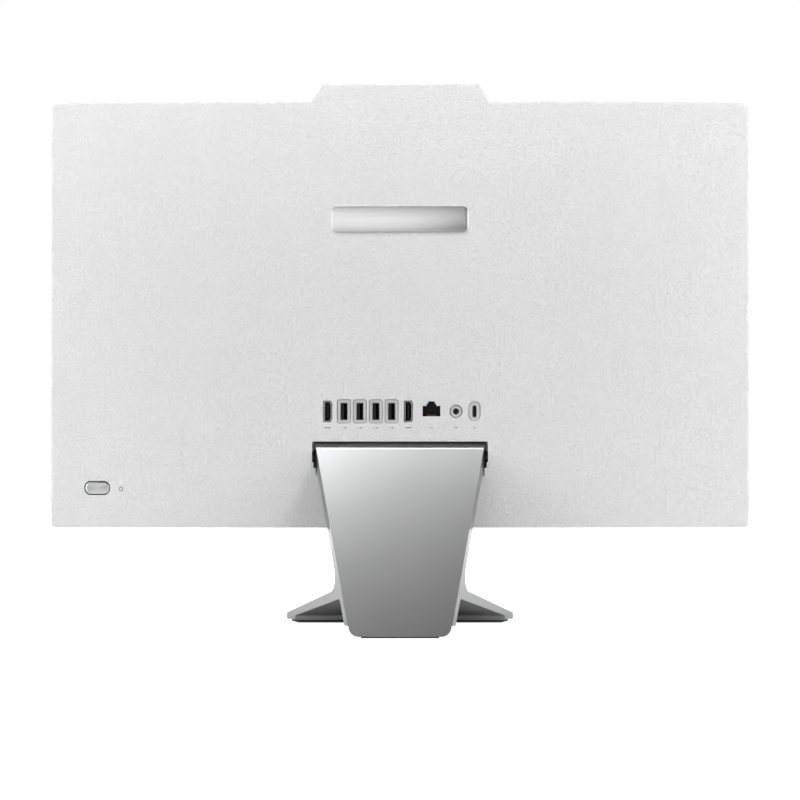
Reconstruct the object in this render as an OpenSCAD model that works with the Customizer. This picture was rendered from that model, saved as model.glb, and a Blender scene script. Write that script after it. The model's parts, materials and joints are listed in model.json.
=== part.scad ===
// All in one pc on a cast aluminium stand.
// Millimetres. +Z is up, the screen faces -Y and the ports face +Y.
// The origin is on the table, under the centre of the whole object.

/* [Head] */
// Width of the head
head_w = 540; // [520:1:560]
// Height of the head, without the camera bump
head_h = 329.2; // [322:0.2:340]
// Height of the head's lower edge above the table
head_lift = 77.7; // [76:0.1:82]
// Depth of the head at the middle of its rear face
head_d = 32; // [31.5:0.1:34]
// Radius that the rear face curves away with
crown_r = 1000; // [980:5:1300]
// Half width of the flat middle of the rear face
flat_half = 110; // [106:1:130]
// Height of the flat part of the rear face, from the head's lower edge
flat_h = 192; // [186:1:230]
// Wall thickness of the rear cover
cover_t = 2.2; // [1.8:0.1:2.4]
// Depth of the front bezel
bezel_d = 5; // [4.5:0.1:5.5]
// Visible border beside and above the screen
border = 6.5; // [6:0.1:8]

/* [Camera bump] */
// Height of the bump above the head
bump_h = 14; // [13:0.5:16]
// Width of the bump at its foot
bump_foot_w = 137; // [125:1:150]
// Width of the bump at its top
bump_top_w = 120.8; // [105:1:124]
// Travel of the privacy shutter
shutter_travel = 6.5; // [6:0.1:6.6]

/* [Ports] */
// Height of the port row above the table
port_z = 167.2; // [166:0.1:172]
// Width of a USB opening
usb_w = 5.12; // [5:0.01:5.3]
// Length of a USB opening
usb_l = 12.5; // [12.4:0.01:12.8]
// Radius of the headphone socket's bore
audio_r = 1.8; // [1.75:0.01:1.9]

/* [Power button] */
// Length of the power button
button_l = 19.6; // [16:0.1:21]
// Height of the power button
button_h = 10.2; // [8:0.1:11.5]
// Travel of the power button
button_travel = 0.8; // [0.4:0.1:0.9]

/* [Stand] */
// Depth of the stand on the table
stand_d = 191.5; // [188:0.2:196]
// Radius of the rolled hinge knuckle
knuckle_r = 11; // [10.5:0.1:11.2]
// Half width of the hinge knuckle
knuckle_half = 66.2; // [60:0.1:66.4]
// Radius of the hinge shaft
shaft_r = 4; // [3:0.1:4.2]
// Thickness of the rear leg, square to its faces
leg_t = 8.1; // [7:0.1:8.6]
// Half width of the stand in the plane y = 0
flare_half = 63.8; // [60:0.1:64.5]
// How much the stand widens on each side for each unit towards the front
flare = 0.278; // [0.2:0.002:0.3]

/* [Hidden] */
$fn = 64;
big_fn = 720;
gap = 0.3;
rear_y = -2;
front_y = rear_y - head_d;
split_y = front_y + bezel_d;
head_z0 = head_lift;
head_z1 = head_lift + head_h;
crown_z = head_z0 + flat_h;
bump_z1 = head_z1 + bump_h;
corner_top_r = 6.2;
corner_foot_r = 3.1;

// Screen stack, from the bezel back to the chassis plate
bezel_t = 2;
cell_y0 = front_y + bezel_t;
cell_t = 1.4;
sheet_t = 0.6;
guide_y0 = cell_y0 + cell_t + sheet_t;
guide_t = 2.8;
tray_y0 = guide_y0 + guide_t;
tray_t = 0.7;
stack_half = head_w/2 - 4;
stack_z0 = head_z0 + 22;
stack_z1 = head_z1 - 4;
screen_half = head_w/2 - border;
screen_z1 = head_z1 - border;
screen_z0 = screen_z1 - 2*screen_half*9/16;
plate_y0 = tray_y0 + tray_t + 0.1;
plate_y1 = plate_y0 + 0.9;

// Hinge
axis_y = -11.1;
axis_z = 131.9;
pocket_r = knuckle_r + 1.2;
pocket_half = knuckle_half + 1.5;
pocket_wall = 1.8;
ramp_half = flare_half + 1.2;
bracket_x0 = pocket_half + pocket_wall + 0.7;
bracket_t = 3;
washer_t = 2.5;
nut_t = 5.3;
nut_flats = 12.6;
hinge_screw_x = [-bracket_x0 - 20, bracket_x0 + 20];
shaft_half = bracket_x0 + bracket_t + washer_t + nut_t + 1.5;
bush_l = 20;
bush_r = 6;
bush_inset = 1.3;
running = 0.05;

// Motherboard
pcb_y1 = -16;
pcb_t = 1.6;
pcb_half = 85;
pcb_z0 = 150;
pcb_z1 = 306;
port_y1 = rear_y - 0.6;
io_y1 = rear_y - cover_t - 0.2;
io_t = 1.6;
hdmi_out_x = 55.6;
hdmi_in_x = -6.5;
usb_x = [43.1, 30.9, 18.6, 6.5];
lan_x = -24.2;
lan_z = 169.1;
dc_x = -43.1;
usb_c_x = -57.3;
usb_frame_w = 9.6;
usb_frame_l = 17.3;
usb_c_frame_w = 8.2;
usb_c_frame_l = 14;
standoff_places = [[-78, 192], [78, 192], [-78, 246], [78, 246], [-78, 299], [78, 299]];
cover_screw_x = [-142, -100, 100, 142];
cover_screw_y = -20;
audio_x = 120;
audio_y = -17;
audio_l = 13.2;

// Slots through the upper and lower edges
vent_pitch = 9;
vent_w = 6;
vent_d = 2.4;

// Blank badge and camera
badge_z = 314.9;
badge_w = 105;
badge_h = 21;
badge_r = 5;
camera_z = head_z1 + 6.4;
lens_hole_r = 2.6;
knob_x = 15.2;
knob_w = 4.2;
knob_play = 0.8;
mic_x = 32;

// Power button and light, on the curved side of the rear face
button_x = 233.7;
button_z = 108.1;
light_x = 215.2;
light_z = 107.4;
light_r = 1.65;

// Blower
fan_x = -150;
fan_z = 232;
fan_y0 = plate_y1;
fan_y1 = -12.5;
fan_r = 31;
fan_shaft_r = 1.5;
pipe_z = 281;

// Loudspeakers
speaker_x = 190;
speaker_w = 64;

// Stand: the rear leg's rear face is y = leg_y0 - leg_slope*z, tangent to the knuckle
leg_slope = 0.714;
leg_cos = 1/sqrt(1 + leg_slope*leg_slope);
leg_y0 = axis_y + leg_slope*axis_z + knuckle_r/leg_cos;
leg_y1 = leg_y0 - leg_t/leg_cos;
foot_z = 1.2;
toe_r = 7.5;
toe_half = 38.2;
upper_blend_r = 12;
lower_blend_r = 5;
front_tip_y = -stand_d/2;
plate_top_z = 23.7;
plate_top_slope = 0.1816;
plate_low_z = 16.74;
plate_low_slope = 0.161;
front_pad_y0 = -90;
front_pad_y1 = -69;
front_pad_h = 2.2;
rear_pad_half = 28.8;
rear_pad_y0 = 86.6;
rear_pad_y1 = 95;

// ---------- helpers ----------

// Extrudes an X-Z outline from y0 to y1
module slab(y0, y1) {
  translate([0, y1, 0]) rotate([90, 0, 0]) linear_extrude(y1 - y0) children();
}

// Extrudes a Y-Z profile from x0 to x1
module across(x0, x1) {
  translate([x0, 0, 0]) rotate([90, 0, 90]) linear_extrude(x1 - x0) children();
}

// A block given by its low and high corners
module block(low, high) {
  translate(low) cube(high - low);
}

// A cylinder along Y
module post(x, z, y0, y1, r) {
  translate([x, y1, z]) rotate([90, 0, 0]) cylinder(h = y1 - y0, r = r);
}

// A cylinder along X
module rod(x0, x1, y, z, r) {
  translate([x0, y, z]) rotate([0, 90, 0]) cylinder(h = x1 - x0, r = r);
}

// A copy on each side of the plane x = 0
module both_sides() {
  children();
  mirror([1, 0, 0]) children();
}

// A rectangle with round corners, centred
module round_rect(w, h, r) {
  square([w - 2*r, h], center = true);
  square([w, h - 2*r], center = true);
  for (sx = [-1, 1], sz = [-1, 1])
    translate([sx*(w/2 - r), sz*(h/2 - r)]) circle(r);
}

// Moves to the rear face at x, turned so that +Y is the outward normal there
module on_side_curve(x, z) {
  a = asin((x - flat_half)/crown_r);
  translate([flat_half + crown_r*sin(a), rear_y - crown_r + crown_r*cos(a), z])
    rotate([0, 0, -a]) children();
}

// ---------- head shell ----------

// Outline of the head seen from the rear, inset on every side, without the camera bump
module head_outline(inset = 0) {
  half = head_w/2 - inset;
  z0 = head_z0 + inset;
  z1 = head_z1 - inset;
  rt = corner_top_r - inset;
  rf = max(corner_foot_r - inset, 0.6);
  translate([-half, z0 + rf]) square([2*half, z1 - z0 - rt - rf]);
  translate([-half + rt, z1 - rt - 1]) square([2*(half - rt), rt + 1]);
  translate([-half + rf, z0]) square([2*(half - rf), rf + 1]);
  for (s = [-1, 1]) {
    translate([s*(half - rt), z1 - rt]) circle(rt);
    translate([s*(half - rf), z0 + rf]) circle(rf);
  }
}

// Outline of the camera bump, which runs down into the head
module bump_outline(inset = 0) {
  root = 4;
  foot = bump_foot_w/2 - inset + root*(bump_foot_w - bump_top_w)/2/bump_h;
  top = bump_top_w/2 - inset;
  polygon([
    [-foot, head_z1 - inset - root],
    [-top, bump_z1 - inset],
    [top, bump_z1 - inset],
    [foot, head_z1 - inset - root]
  ]);
}

// A block with the head's outline from y0 to y1
module head_block(y0, y1, inset = 0) {
  slab(y0, y1) head_outline(inset);
  slab(y0, y1) bump_outline(inset);
}

// Distance from the crown's centre against height, for the curved rear face
module crown_profile(inset) {
  depth = 60;
  translate([crown_r - depth, head_z0 - 5]) square([depth - inset, crown_z - head_z0 + 5]);
  intersection() {
    translate([crown_r - depth, crown_z - 1]) square([depth, bump_z1 - crown_z + 6]);
    translate([0, crown_z]) circle(crown_r - inset, $fn = big_fn);
  }
}

// Everything in front of the rear face: flat in the middle, curved at the top and the sides
module crown_body(inset) {
  sweep = asin((head_w/2 - flat_half)/crown_r) + 1;
  across(-flat_half, flat_half) translate([rear_y - crown_r, 0]) crown_profile(inset);
  both_sides()
    translate([flat_half, rear_y - crown_r, 0])
      rotate([0, 0, 90 - sweep])
        rotate_extrude(angle = sweep, $fn = big_fn) crown_profile(inset);
}

// Y-Z profile of the hinge pocket, grown by a wall
module pocket_profile(grow = 0) {
  translate([axis_y, axis_z]) circle(pocket_r + grow);
  translate([axis_y, axis_z - 2 - grow])
    square([rear_y - axis_y + 3, pocket_r + 2 + 2*grow]);
}

// Y-Z profile of the ramp below the pocket, which the leg needs when the head tips forward
module ramp_profile(grow = 0) {
  polygon([
    [axis_y - grow, axis_z],
    [axis_y - grow, axis_z - 6 - grow],
    [rear_y + 0.01, axis_z - 14.5 - 1.6*grow],
    [rear_y + 3, axis_z - 14.5 - 1.6*grow],
    [rear_y + 3, axis_z]
  ]);
}

module hdmi_outline(grow = 0) {
  w = 4.6/2 + grow;
  l = 14/2 + grow;
  cut = 2.2;
  polygon([[w, -l], [w, l], [-w + cut*0.45, l], [-w, l - cut], [-w, -l + cut], [-w + cut*0.45, -l]]);
}

module usb_outline(grow = 0) {
  square([usb_w + 2*grow, usb_l + 2*grow], center = true);
}

module usb_c_outline(grow = 0) {
  round_rect(2.7 + 2*grow, 8.5 + 2*grow, 1.3 + grow);
}

module lan_outline(grow = 0) {
  translate([-6.8 - grow, -5.8 - grow]) square([13.6 + 2*grow, 8.1 + 2*grow]);
  translate([-3.7 - grow, 0]) square([7.4 + 2*grow, 4.1 + grow]);
  translate([-2.55 - grow, 0]) square([5.1 + 2*grow, 5.8 + grow]);
}

// Openings of the port row, in the X-Z plane
module port_openings() {
  for (x = [hdmi_out_x, hdmi_in_x])
    translate([x, port_z]) hdmi_outline(0.9);
  for (x = usb_x)
    translate([x, port_z]) round_rect(usb_frame_w + 1, usb_frame_l + 1, 2.1);
  translate([lan_x, lan_z]) lan_outline(0);
  translate([dc_x, port_z]) circle(5.1);
  translate([usb_c_x, port_z])
    round_rect(usb_c_frame_w + 1, usb_c_frame_l + 1, usb_c_frame_w/2 + 0.49);
}

// Slots through the upper edge, above the blower and on the other side
module top_vents() {
  for (s = [-1, 1], i = [0:13])
    translate([s*(90 + i*vent_pitch), -23, head_z1 - 6])
      block([-vent_w/2, 0, 0], [vent_w/2, vent_d, 12]);
}

// Slots through the lower edge: intake in the middle, loudspeakers at the sides
module foot_vents() {
  for (s = [-1, 1], i = [0:6])
    translate([s*(speaker_x - 27 + i*vent_pitch), -21, head_z0 - 6])
      block([-vent_w/2, 0, 0], [vent_w/2, vent_d, 12]);
  for (i = [0:12])
    translate([(i - 6)*vent_pitch, -14, head_z0 - 6])
      block([-vent_w/2, 0, 0], [vent_w/2, vent_d, 12]);
}

module rear_cover() {
  color("white")
  difference() {
    union() {
      difference() {
        intersection() {
          head_block(split_y, rear_y);
          crown_body(0);
        }
        intersection() {
          head_block(split_y - 1, rear_y, cover_t);
          crown_body(cover_t);
        }
      }
      intersection() {
        union() {
          across(-pocket_half - pocket_wall, pocket_half + pocket_wall)
            pocket_profile(pocket_wall);
          across(-ramp_half - pocket_wall, ramp_half + pocket_wall)
            ramp_profile(pocket_wall);
        }
        crown_body(0);
      }
    }
    across(-pocket_half, pocket_half) pocket_profile();
    across(-ramp_half, ramp_half) ramp_profile();
    rod(-shaft_half, shaft_half, axis_y, axis_z, shaft_r + 0.6);
    slab(rear_y - cover_t - 1, rear_y + 1) port_openings();
    on_side_curve(button_x, button_z)
      slab(-6, 4) round_rect(button_l + 2*gap, button_h + 2*gap, button_h/2 - 0.6 + gap);
    on_side_curve(light_x, light_z) slab(-6, 4) circle(light_r + 0.05);
    translate([audio_x, audio_y, head_z0 - 1]) cylinder(h = 4, r = 3.4);
    for (x = cover_screw_x) {
      translate([x, cover_screw_y, head_z0 - 1]) cylinder(h = 4, r = 1.6);
      translate([x, cover_screw_y, head_z0 - 1]) cylinder(h = 2.4, r = 2.9);
    }
    top_vents();
    foot_vents();
    badge_place() slab(-1.2, 3) round_rect(badge_w + 0.2, badge_h + 0.2, badge_r + 0.1);
  }
}

// ---------- front ----------

module front_bezel() {
  color("whitesmoke")
  difference() {
    head_block(front_y, split_y);
    head_block(front_y + bezel_t, split_y + 1, 1.8);
    translate([-screen_half, front_y - 1, screen_z0])
      cube([2*screen_half, bezel_t + 2, screen_z1 - screen_z0]);
    post(0, camera_z, front_y - 1, front_y + bezel_t + 1, lens_hole_r);
    for (s = [-1, 1]) post(s*mic_x, camera_z, front_y - 1, front_y + bezel_t + 1, 0.7);
    block([knob_x - shutter_travel - knob_play, front_y - 1, camera_z - 1.3],
          [knob_x + knob_w + knob_play, front_y + bezel_t + 1, camera_z + 1.3]);
  }
}

module lcd_panel() {
  color("black")
    block([-stack_half, cell_y0, stack_z0], [stack_half, cell_y0 + cell_t, stack_z1]);
}

module diffuser_sheets() {
  color("ghostwhite")
    block([-stack_half + 1, cell_y0 + cell_t, stack_z0 + 4],
          [stack_half - 1, guide_y0, stack_z1 - 1]);
}

module light_guide() {
  color("lightcyan")
    block([-stack_half + 1, guide_y0, stack_z0 + 4], [stack_half - 1, tray_y0, stack_z1 - 1]);
}

module led_bar() {
  color("gold") {
    block([-stack_half + 2, guide_y0, stack_z0 + 1], [stack_half - 2, tray_y0, stack_z0 + 2.6]);
    for (i = [-20:20])
      block([i*12.5 - 2, guide_y0 + 0.4, stack_z0 + 2.6], [i*12.5 + 2, tray_y0 - 0.4, stack_z0 + 4]);
  }
}

module backlight_tray() {
  color("silver") {
    block([-stack_half, tray_y0, stack_z0], [stack_half, tray_y0 + tray_t, stack_z1]);
    block([-stack_half, guide_y0, stack_z0], [stack_half, tray_y0, stack_z0 + 0.8]);
    block([-stack_half, guide_y0, stack_z1 - 0.8], [stack_half, tray_y0, stack_z1]);
  }
}

module chassis_plate() {
  color("gainsboro")
  difference() {
    union() {
      block([-235, plate_y0, head_z0 + 14], [235, plate_y1, 386]);
      block([-150, plate_y1, head_z0 + 14], [-90, plate_y1 + 8, head_z0 + 15]);
      block([90, plate_y1, head_z0 + 14], [150, plate_y1 + 8, head_z0 + 15]);
    }
    for (s = [-1, 1], i = [0:3])
      block([s*190 - 30, plate_y0 - 1, 150 + i*56], [s*190 + 30, plate_y1 + 1, 186 + i*56]);
    block([-60, plate_y0 - 1, 318], [60, plate_y1 + 1, 370]);
    for (x = cover_screw_x)
      translate([x, cover_screw_y, head_z0 + 13]) cylinder(h = 3, r = 1.5);
    for (x = hinge_screw_x, z = [-6, 6])
      post(x, axis_z + z, plate_y0 - 1, plate_y1 + 1, 2);
  }
}

// ---------- rear trim ----------

// Moves to the badge, turned so that +Y is the outward normal of the rear face there
module badge_place() {
  a = asin((badge_z - crown_z)/crown_r);
  translate([0, rear_y - crown_r + crown_r*cos(a), crown_z + crown_r*sin(a)])
    rotate([a, 0, 0]) children();
}

module badge_plate() {
  color("silver") badge_place() slab(-1.2, 0.5) round_rect(badge_w, badge_h, badge_r);
}

// Four screws up through the lower edge into the chassis flanges
module cover_screws() {
  color("silver")
  for (x = cover_screw_x)
    translate([x, cover_screw_y, head_z0]) {
      difference() {
        translate([0, 0, 0.2]) cylinder(h = 1.2, r = 2.75);
        cylinder(h = 1, r = 1.1, $fn = 6);
      }
      translate([0, 0, 1.4]) cylinder(h = 14.4, r = 1.45);
    }
}

// Raised frames that nearly fill the USB openings of the rear cover
module port_frames() {
  slab(io_y1 - 1, port_y1 + 0.1) {
    for (x = usb_x) translate([x, port_z]) round_rect(usb_frame_w, usb_frame_l, 1.6);
    translate([usb_c_x, port_z]) round_rect(usb_c_frame_w, usb_c_frame_l, usb_c_frame_w/2 - 0.01);
  }
}

// Two plates behind the port row, one on each side of the network socket
module port_surround() {
  color("lightgray")
  difference() {
    union() {
      block([lan_x + 11, io_y1 - io_t, port_z - 13], [66, io_y1, port_z + 11]);
      block([-68, io_y1 - io_t, port_z - 13], [lan_x - 11, io_y1, port_z + 11]);
      port_frames();
    }
    slab(io_y1 - io_t - 1, port_y1 + 1) {
      for (x = [hdmi_out_x, hdmi_in_x]) translate([x, port_z]) hdmi_outline(0.7);
      for (x = usb_x) translate([x, port_z]) usb_outline(0.6);
      translate([usb_c_x, port_z]) usb_c_outline(0.6);
      translate([dc_x, port_z]) circle(4.3);
    }
  }
}

// ---------- ports ----------

// A tube of a given outline, open at the rear and closed at the circuit board
module socket_shell(x, y1) {
  difference() {
    translate([x, 0, port_z]) slab(pcb_y1, y1) children(0);
    translate([x, 0, port_z]) slab(pcb_y1 + 1.5, y1 + 1) children(1);
  }
}

module hdmi_shell(x) {
  color("silver") socket_shell(x, port_y1) {
    hdmi_outline(0.5);
    hdmi_outline(0);
  }
}

module hdmi_out_port() {
  hdmi_shell(hdmi_out_x);
}

module hdmi_in_port() {
  hdmi_shell(hdmi_in_x);
}

// The insulating tongue inside each picture, USB-A and USB-C socket
module socket_tongues() {
  color("dimgray") {
    for (x = [hdmi_out_x, hdmi_in_x])
      block([x - 0.6, pcb_y1 + 1.5, port_z - 5.6], [x + 0.6, port_y1 - 1.5, port_z + 5.6]);
    for (x = usb_x)
      block([x + 0.2, pcb_y1 + 1.5, port_z - 5.6], [x + 2.1, port_y1 - 1.2, port_z + 5.6]);
    block([usb_c_x - 0.35, pcb_y1 + 1.5, port_z - 3.3],
          [usb_c_x + 0.35, port_y1 - 0.9, port_z + 3.3]);
  }
}

module usb_shell(i) {
  color("silver") socket_shell(usb_x[i], port_y1) {
    usb_outline(0.45);
    usb_outline(0);
  }
}

module usb_port_1() {
  usb_shell(0);
}

module usb_port_2() {
  usb_shell(1);
}

module usb_port_3() {
  usb_shell(2);
}

module usb_port_4() {
  usb_shell(3);
}

module usb_c_port() {
  color("silver") socket_shell(usb_c_x, port_y1) {
    usb_c_outline(0.4);
    usb_c_outline(0);
  }
}

module lan_port() {
  color("dimgray")
  difference() {
    block([lan_x - 8, pcb_y1, lan_z - 7.4], [lan_x + 8, io_y1, lan_z + 7.2]);
    translate([lan_x, 0, lan_z]) slab(pcb_y1 + 1.2, rear_y + 1) lan_outline(0);
  }
}

module lan_contacts() {
  color("gold")
  for (i = [0:7])
    block([lan_x - 3.9 + i*1.02, pcb_y1 + 1.2, lan_z - 5.8],
          [lan_x - 3.4 + i*1.02, io_y1 - io_t - 0.8, lan_z - 4.4]);
}

module dc_inlet() {
  color("black")
  difference() {
    union() {
      block([dc_x - 5, pcb_y1, port_z - 6], [dc_x + 5, io_y1 - io_t, port_z + 6]);
      post(dc_x, port_z, io_y1 - io_t - 1, port_y1, 4.2);
    }
    post(dc_x, port_z, pcb_y1 + 1.2, rear_y + 1, 2.5);
  }
}

module dc_pin() {
  color("gold") post(dc_x, port_z, pcb_y1 + 1.2, io_y1 - 1.5, 0.5);
}

module audio_jack() {
  color("black")
  difference() {
    union() {
      translate([audio_x, audio_y, head_z0 + 0.2]) cylinder(h = 3, r = 3.2);
      block([audio_x - 4.5, audio_y - 4, head_z0 + cover_t + 0.1],
            [audio_x + 4.5, audio_y + 4, head_z0 + cover_t + 11.5]);
    }
    translate([audio_x, audio_y, head_z0 - 1]) cylinder(h = audio_l, r = audio_r);
  }
}

// ---------- motherboard ----------

module motherboard() {
  color("darkgreen")
  difference() {
    block([-pcb_half, pcb_y1 - pcb_t, pcb_z0], [pcb_half, pcb_y1, pcb_z1]);
    for (p = standoff_places) post(p[0], p[1], pcb_y1 - pcb_t - 1, pcb_y1 + 1, 1.5);
  }
}

module motherboard_standoffs() {
  color("goldenrod")
  for (p = standoff_places)
    difference() {
      post(p[0], p[1], plate_y1, pcb_y1 - pcb_t, 3);
      post(p[0], p[1], plate_y1 + 1.5, pcb_y1, 1.3);
    }
}

module motherboard_screws() {
  color("silver")
  for (p = standoff_places) {
    difference() {
      post(p[0], p[1], pcb_y1, pcb_y1 + 1.6, 2.5);
      translate([p[0], pcb_y1 + 2, p[1]]) rotate([90, 0, 0]) cylinder(h = 1.3, r = 1.1, $fn = 6);
    }
    post(p[0], p[1], pcb_y1 - 5, pcb_y1, 1.2);
  }
}

module processor() {
  color("dimgray") block([-52, pcb_y1, 256], [-8, pcb_y1 + 1.4, 300]);
}

module cold_plate() {
  color("chocolate") block([-58, pcb_y1 + 1.4, 252], [-2, pcb_y1 + 3, 304]);
}

module heat_pipe() {
  color("chocolate")
    translate([0, pcb_y1 + 4.5, pipe_z]) rotate([0, 90, 0]) rotate([0, 0, 90])
      translate([0, 0, -186]) linear_extrude(182) round_rect(3, 8, 1.49);
}

module fin_stack() {
  color("silver") {
    block([-189, fan_y0, 272.4], [-111, fan_y0 + 0.8, 291]);
    for (i = [0:25])
      block([-189 + i*3.1, fan_y0 + 0.8, 272.4], [-188.5 + i*3.1, pcb_y1 + 3, 291]);
  }
}

module fan_housing() {
  color("black")
  difference() {
    block([fan_x - 39, fan_y0, fan_z - 38], [fan_x + 39, fan_y1, fan_z + 40]);
    post(fan_x, fan_z, fan_y0 + 1.2, fan_y1 - 1.2, fan_r + 3.5);
    post(fan_x, fan_z, fan_y1 - 2, fan_y1 + 1, 21);
    block([fan_x - 34, fan_y0 + 1.2, fan_z], [fan_x + 34, fan_y1 - 1.2, fan_z + 41]);
    post(fan_x, fan_z, fan_y0 + 0.4, fan_y0 + 3, fan_shaft_r + running);
  }
}

module fan_rotor() {
  hub_r = 12;
  color("darkslategray") {
    post(fan_x, fan_z, fan_y0 + 2, fan_y1 - 1.6, hub_r);
    post(fan_x, fan_z, fan_y0 + 0.5, fan_y0 + 2.1, fan_shaft_r);
    for (i = [0:22])
      translate([fan_x, 0, fan_z]) rotate([0, i*360/23, 0])
        block([hub_r - 1, fan_y0 + 2.4, -0.5], [fan_r, fan_y1 - 2.4, 0.5]);
  }
}

module memory_sockets() {
  color("ivory")
  for (z = [198, 234])
    block([12, pcb_y1, z - 5], [72, pcb_y1 + 4, z]);
}

module memory_modules() {
  color("seagreen")
  for (z = [198, 234])
    block([8, pcb_y1 + 2, z], [75.6, pcb_y1 + 3.2, z + 30]);
}

module ssd_module() {
  color("darkslateblue") block([-82, pcb_y1, 200], [-2, pcb_y1 + 3.2, 222]);
}

module wireless_card() {
  color("seagreen") block([-70, pcb_y1, 226], [-40, pcb_y1 + 2.4, 248]);
}

module coin_cell() {
  color("silver") post(45, 286, pcb_y1, pcb_y1 + 3.2, 10);
}

// ---------- power button and light ----------

module power_button() {
  color("silver")
  on_side_curve(button_x, button_z) {
    slab(-2.6, 0.4) round_rect(button_l, button_h, button_h/2 - 0.6);
    slab(-3.4, -2.6) round_rect(button_l + 2.2, button_h + 2.2, button_h/2);
    post(0, 0, -4.4, -3.4, 1.5);
  }
}

module power_switch_board() {
  color("darkgreen")
  on_side_curve(button_x, button_z) {
    slab(-8, -6.8) translate([-6, 0]) square([40, 12], center = true);
    post(0, 0, -6.8, -4.4 - button_travel - 0.1, 2.5);
  }
}

module power_light_pipe() {
  color("gray")
  on_side_curve(light_x, light_z) {
    post(0, 0, -4.5, 0.05, light_r);
    post(0, 0, -5.5, -4.5, 2.4);
  }
}

// ---------- camera ----------

module webcam_module() {
  color("black") {
    block([-24, tray_y0 + 0.4, camera_z - 4.5], [24, tray_y0 + 1.6, camera_z + 4.5]);
    difference() {
      post(0, camera_z, front_y + 4, tray_y0 + 0.4, 3);
      post(0, camera_z, front_y + 3, front_y + 4.8, 2.3);
    }
  }
}

module webcam_lens() {
  color("darkslateblue") post(0, camera_z, front_y + 4.1, front_y + 4.8, 2.2);
}

module webcam_window() {
  color("lightblue")
    block([-10, front_y + 3.1, camera_z - 4], [10, front_y + 3.8, camera_z + 4]);
}

module privacy_shutter() {
  color("dimgray")
  difference() {
    union() {
      block([-12, front_y + 2.2, camera_z - 3.4], [22, front_y + 2.8, camera_z + 3.4]);
      block([knob_x, front_y - 0.6, camera_z - 0.9], [knob_x + knob_w, front_y + 2.2, camera_z + 0.9]);
    }
    post(0, camera_z, front_y + 1, front_y + 4, lens_hole_r + 0.2);
  }
}

module microphones() {
  color("silver")
  for (s = [-1, 1])
    block([s*mic_x - 2, front_y + 2.1, camera_z - 1.5], [s*mic_x + 2, front_y + 3.2, camera_z + 1.5]);
}

// ---------- loudspeakers ----------

module loudspeaker(x) {
  color("black")
  difference() {
    block([x - speaker_w/2, plate_y1, head_z0 + 4], [x + speaker_w/2, -13.6, head_z0 + 24]);
    translate([x - 12, -19.5, head_z0 + 3]) cylinder(h = 4, r = 4.6);
    translate([x + 12, -19.5, head_z0 + 3]) cylinder(h = 4, r = 4.6);
  }
}

module speaker_left() {
  loudspeaker(speaker_x);
}

module speaker_right() {
  loudspeaker(-speaker_x);
}

// ---------- leads inside the head ----------

module display_cable() {
  color("orange") {
    block([pcb_half + 0.1, plate_y1, 226], [pcb_half + 0.5, pcb_y1 - 0.4, 240]);
    block([pcb_half + 0.5, plate_y1, 226], [165, plate_y1 + 0.4, 240]);
    block([164.6, tray_y0 + tray_t, 226], [165, plate_y1, 240]);
  }
}

module webcam_cable() {
  color("orange") {
    block([-4, plate_y1, pcb_z1 + 0.1], [4, pcb_y1 - 0.4, pcb_z1 + 0.5]);
    block([-4, plate_y1, pcb_z1 + 0.5], [4, plate_y1 + 0.4, camera_z + 4]);
  }
}

module antennas() {
  color("gold")
  for (s = [-1, 1])
    block([s*170 - 22, tray_y0 + tray_t, 389], [s*170 + 22, tray_y0 + tray_t + 0.6, 399]);
}

// ---------- hinge ----------

module hinge_shaft() {
  color("silver") rod(-shaft_half, shaft_half, axis_y, axis_z, shaft_r);
}

module hinge_brackets() {
  color("dimgray")
  both_sides()
  difference() {
    union() {
      block([bracket_x0, plate_y1, axis_z - 11], [bracket_x0 + bracket_t, -4.6, axis_z + 11]);
      block([bracket_x0, plate_y1, axis_z - 11], [bracket_x0 + 26, plate_y1 + 2.4, axis_z + 11]);
    }
    rod(bracket_x0 - 1, bracket_x0 + bracket_t + 1, axis_y, axis_z, shaft_r + 0.02);
    for (z = [-6, 6]) post(bracket_x0 + 20, axis_z + z, plate_y1 - 1, plate_y1 + 4, 2.1);
  }
}

module hinge_screws() {
  color("silver")
  for (x = hinge_screw_x, z = [-6, 6]) {
    difference() {
      post(x, axis_z + z, plate_y1 + 2.4, plate_y1 + 4.4, 3.5);
      translate([x, plate_y1 + 5, axis_z + z]) rotate([90, 0, 0]) cylinder(h = 1.8, r = 1.6, $fn = 6);
    }
    post(x, axis_z + z, plate_y0 + 0.1, plate_y1 + 2.4, 1.9);
  }
}

module hinge_disc_springs() {
  color("silver")
  both_sides()
  for (i = [0:3])
    translate([bracket_x0 + bracket_t + i*washer_t/4, 0, 0])
    difference() {
      rod(0.01, washer_t/4 - 0.05, axis_y, axis_z, 6.2);
      rod(-1, 2, axis_y, axis_z, shaft_r + 0.05);
    }
}

module hinge_nuts() {
  color("silver")
  both_sides()
  translate([bracket_x0 + bracket_t + washer_t, axis_y, axis_z])
  difference() {
    rotate([0, 90, 0]) cylinder(h = nut_t, r = nut_flats/2/cos(30), $fn = 6);
    rod(-1, nut_t + 1, 0, 0, shaft_r + 0.02);
  }
}

module hinge_bushes() {
  color("darkgoldenrod")
  both_sides()
  difference() {
    rod(knuckle_half - bush_l, knuckle_half - bush_inset, axis_y, axis_z, bush_r);
    rod(knuckle_half - bush_l - 1, knuckle_half + 1, axis_y, axis_z, shaft_r + running);
  }
}

// ---------- stand ----------

function leg_rear(z) = leg_y0 - leg_slope*z;
function leg_front(z) = leg_y1 - leg_slope*z;
function plate_top(y) = plate_top_z + plate_top_slope*y;
function plate_low(y) = plate_low_z + plate_low_slope*y;

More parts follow.
